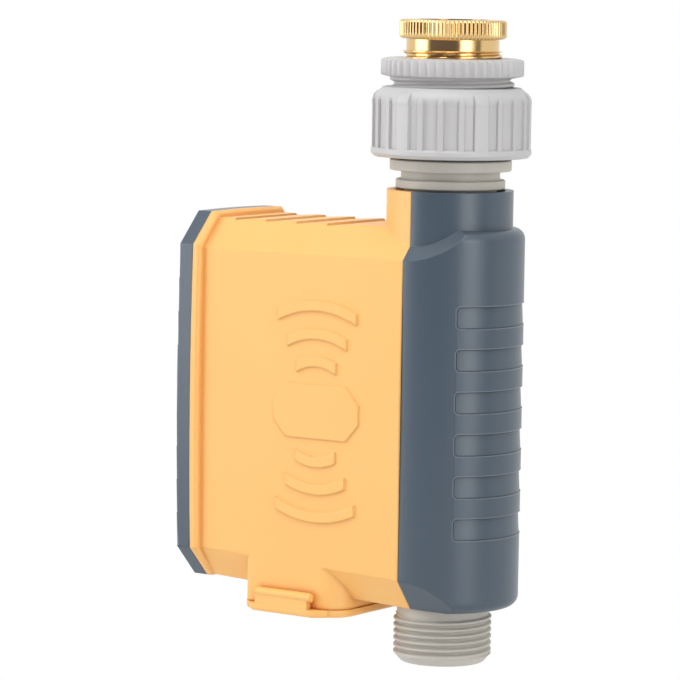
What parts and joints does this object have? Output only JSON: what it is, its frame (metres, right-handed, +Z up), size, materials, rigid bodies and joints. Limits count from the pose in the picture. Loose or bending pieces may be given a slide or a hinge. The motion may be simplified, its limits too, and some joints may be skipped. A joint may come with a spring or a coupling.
{
  "type": "wifi water timer",
  "caption": "Battery water timer that hangs from a garden tap by a swivel nut: tapering box with raised signal waves, round back, front panel and threaded hose outlet.",
  "frame": {"origin": "centre of the tap adapter's mouth, at the top of the timer", "axes": "+Z up along the water pipe towards the tap, front panel towards -Y, battery cover's snap tongue on the +X side"},
  "size_m": [0.0484, 0.0943, 0.1723],
  "materials": {
    "brass": "polished",
    "rubber_black": "matt",
    "grey_plastic": "satin",
    "pipe_plastic": "satin",
    "yellow_plastic": "satin",
    "slate_plastic": "satin",
    "white_plastic": "smooth",
    "black_plastic": "smooth",
    "steel": "bright",
    "chromed": "polished",
    "board_green": "satin",
    "cell_label": "gloss",
    "clear_guide": "clear"
  },
  "bodies": {
    "housing": {"main_case": "yellow_plastic", "rear_shell": "slate_plastic", "front_panel": "slate_plastic", "panel_gasket": "rubber_black", "valve_body": "pipe_plastic", "outlet_fitting": "pipe_plastic", "outlet_o_ring": "rubber_black", "ball_seats": "white_plastic", "stem_o_rings": "rubber_black", "gear_motor": "steel", "gear_bracket": "black_plastic", "limit_switches": "black_plastic", "tact_switch": "black_plastic", "light_guide": "clear_guide", "circuit_board": "board_green", "radio_module": "steel", "case_screws": "steel", "batteries": "cell_label", "bay_roof": "black_plastic", "roof_contacts": "steel", "hinge_pin": "steel", "nut_clip": "steel", "inlet_filter": "rubber_black"},
    "nut": {"swivel_nut": "grey_plastic"},
    "reducer_lift_frame": {"reducer_washer": "rubber_black"},
    "reducer": {"thread_reducer": "grey_plastic"},
    "adapter_lift_frame": {"tap_washer": "rubber_black"},
    "adapter": {"brass_tap_adapter": "brass"},
    "valve": {"valve_ball": "chromed", "valve_stem": "brass", "stem_gear": "white_plastic", "valve_cam": "white_plastic"},
    "pinion": {"motor_pinion": "steel"},
    "button": {"push_button": "yellow_plastic", "switch_plunger": "white_plastic"},
    "cover": {"battery_cover": "yellow_plastic", "cover_gasket": "rubber_black", "cover_contacts": "steel"}
  },
  "joints": [
    {"name": "nut_swivel", "type": "hinge", "parent": "housing", "child": "nut", "pos_m": [0, 0, -0.0273], "axis": [0, 0, 1], "continuous": true},
    {"name": "reducer_lift", "type": "slide", "parent": "nut", "child": "reducer_lift_frame", "axis": [0, 0, 1], "range_m": [0, 0.0076]},
    {"name": "reducer_screw", "type": "hinge", "parent": "reducer_lift_frame", "child": "reducer", "pos_m": [0, 0, -0.018], "axis": [0, 0, 1], "range_deg": [0, 1180]},
    {"name": "adapter_lift", "type": "slide", "parent": "reducer", "child": "adapter_lift_frame", "axis": [0, 0, 1], "range_m": [0, 0.0087]},
    {"name": "adapter_screw", "type": "hinge", "parent": "adapter_lift_frame", "child": "adapter", "pos_m": [0, 0, -0.009], "axis": [0, 0, 1], "range_deg": [0, 1720]},
    {"name": "valve_turn", "type": "hinge", "parent": "housing", "child": "valve", "pos_m": [0, 0, -0.084], "axis": [0, 1, 0], "range_deg": [0, 90]},
    {"name": "pinion_turn", "type": "hinge", "parent": "housing", "child": "pinion", "pos_m": [0, 0, -0.0648], "axis": [0, 1, 0], "range_deg": [-270, 0]},
    {"name": "button_press", "type": "slide", "parent": "housing", "child": "button", "axis": [0, 1, 0], "range_m": [0, 0.0006], "stiffness_N_per_m": 400},
    {"name": "cover_hinge", "type": "hinge", "parent": "housing", "child": "cover", "pos_m": [-0.02251, 0, -0.158], "axis": [0, 1, 0], "range_deg": [0, 100]}
  ],
  "couplings": [
    {"joint": "reducer_lift", "follows": "reducer_screw", "m_per_rad": 0.00036749},
    {"joint": "adapter_lift", "follows": "adapter_screw", "m_per_rad": 0.0002887},
    {"joint": "pinion_turn", "follows": "valve_turn", "ratio": -3}
  ]
}
